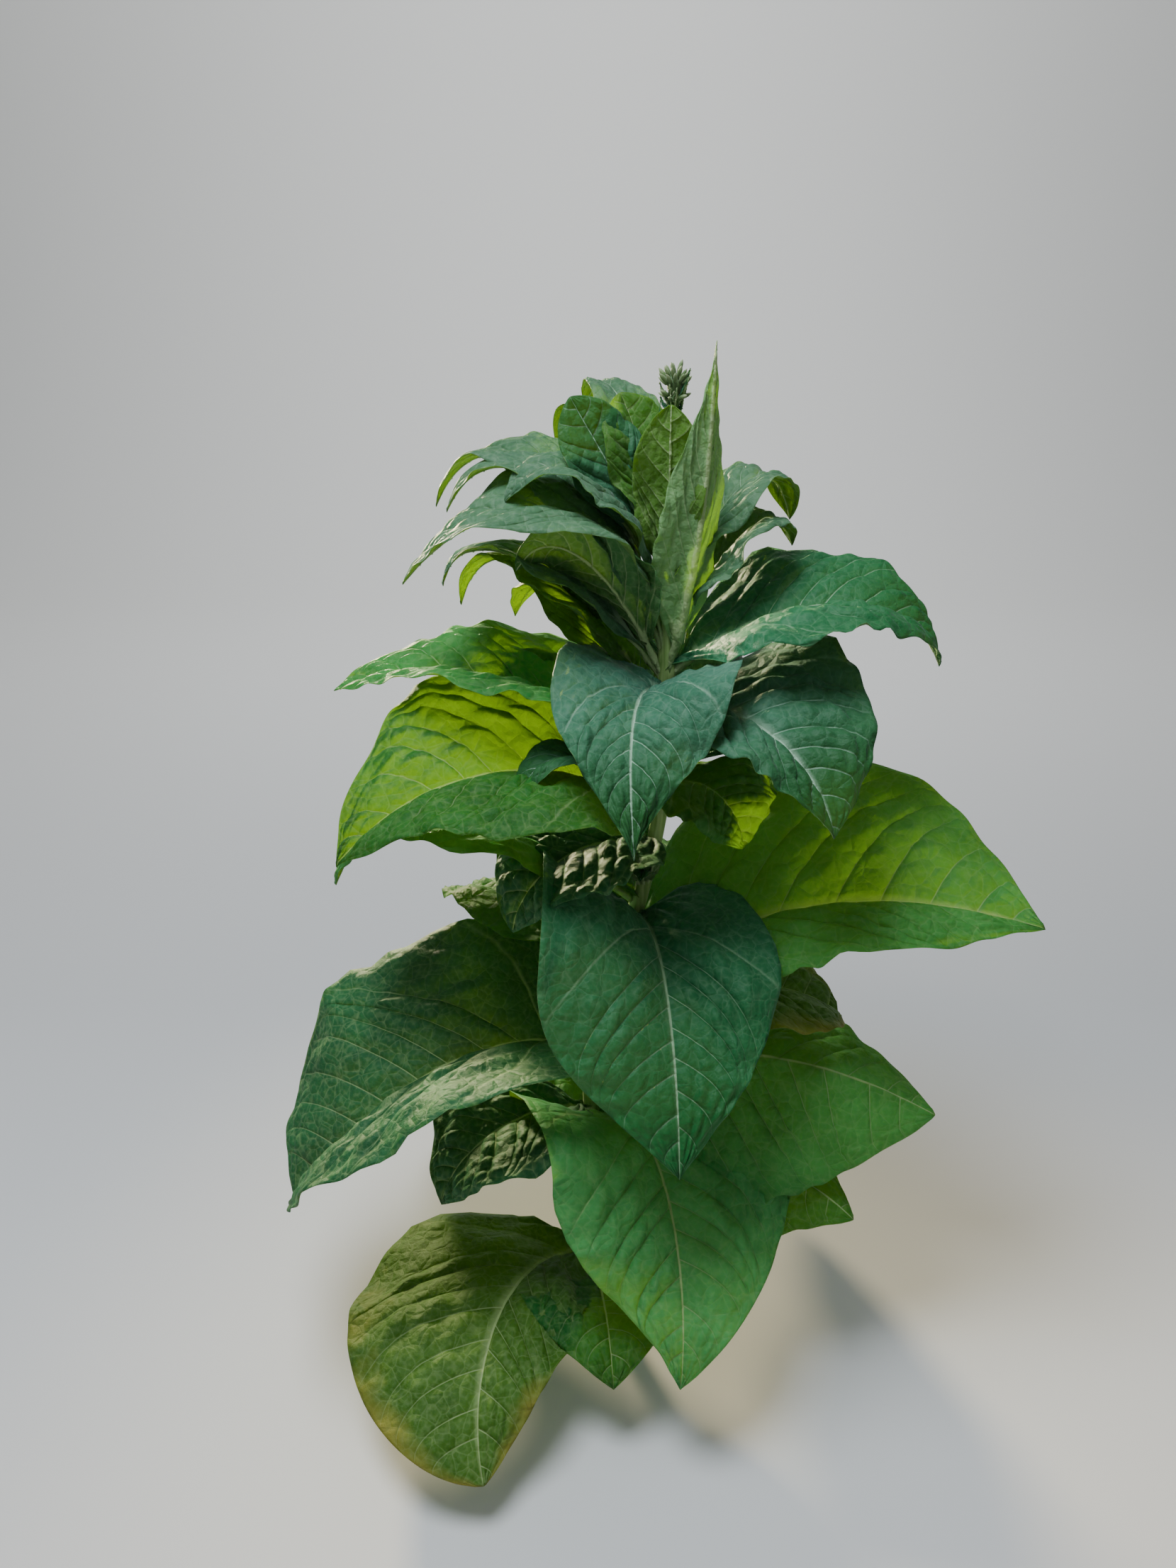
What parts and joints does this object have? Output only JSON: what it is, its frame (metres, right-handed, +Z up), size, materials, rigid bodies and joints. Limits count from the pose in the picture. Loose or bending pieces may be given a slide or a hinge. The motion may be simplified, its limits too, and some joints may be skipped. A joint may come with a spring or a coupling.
{
  "type": "tobacco plant",
  "caption": "Upright field tobacco plant in bud: one leaning stem with broad drooping leaves all round, young upright leaves at the tip and a small head of flower buds.",
  "frame": {"origin": "middle of the flat cut under the stem, at ground level", "axes": "+Z up along the foot of the stem; -Y towards the side that the picture shows; +X to the right there"},
  "size_m": [1.0437, 0.8281, 1.4441],
  "materials": {
    "stem": "satin",
    "low_leaf": "matte",
    "middle_leaf": "matte",
    "upper_leaf": "matte",
    "young_leaf": "satin",
    "buds": "matte"
  },
  "bodies": {
    "root": {"stem": "stem", "leaf_upper_front": "upper_leaf", "leaf_middle_front": "middle_leaf", "leaf_low_front": "low_leaf", "leaf_lowest_front_left": "low_leaf", "leaf_upper_front_right": "upper_leaf", "leaf_middle_left": "upper_leaf", "leaf_low_left": "middle_leaf", "leaf_middle_right": "middle_leaf", "leaf_low_right": "low_leaf", "leaf_upper_right": "upper_leaf", "leaf_upper_left": "upper_leaf", "leaf_middle_left_under": "middle_leaf", "leaf_middle_hanging_right": "upper_leaf", "leaf_middle_hanging_left": "middle_leaf", "leaf_low_left_under": "low_leaf", "leaf_low_right_behind": "middle_leaf", "leaf_small_left": "upper_leaf", "leaf_lowest_front": "low_leaf", "leaf_low_right_under": "low_leaf", "young_leaf_tall_right": "young_leaf", "young_leaf_upright_left": "young_leaf", "young_leaf_upright_middle": "young_leaf", "young_leaf_upright_right": "young_leaf", "young_leaf_left_facing": "young_leaf", "young_leaf_left_arch": "young_leaf", "young_leaf_left_inner": "young_leaf", "young_leaf_left_high": "young_leaf", "young_leaf_left_highest": "young_leaf", "young_leaf_left_low": "young_leaf", "young_leaf_left_lower": "young_leaf", "young_leaf_left_lowest": "young_leaf", "young_leaf_right_arch": "young_leaf", "young_leaf_right_low": "young_leaf", "young_leaf_back_high": "young_leaf", "young_leaf_back_left": "young_leaf", "leaf_back_1": "low_leaf", "leaf_back_2": "low_leaf", "leaf_back_3": "middle_leaf", "leaf_back_4": "middle_leaf", "leaf_back_5": "middle_leaf", "leaf_back_6": "middle_leaf", "leaf_back_7": "upper_leaf", "leaf_back_8": "upper_leaf", "side_shoot_low": "middle_leaf", "side_shoot_middle": "middle_leaf", "side_shoot_upper": "middle_leaf", "bud_head": "buds"}
  },
  "joints": []
}
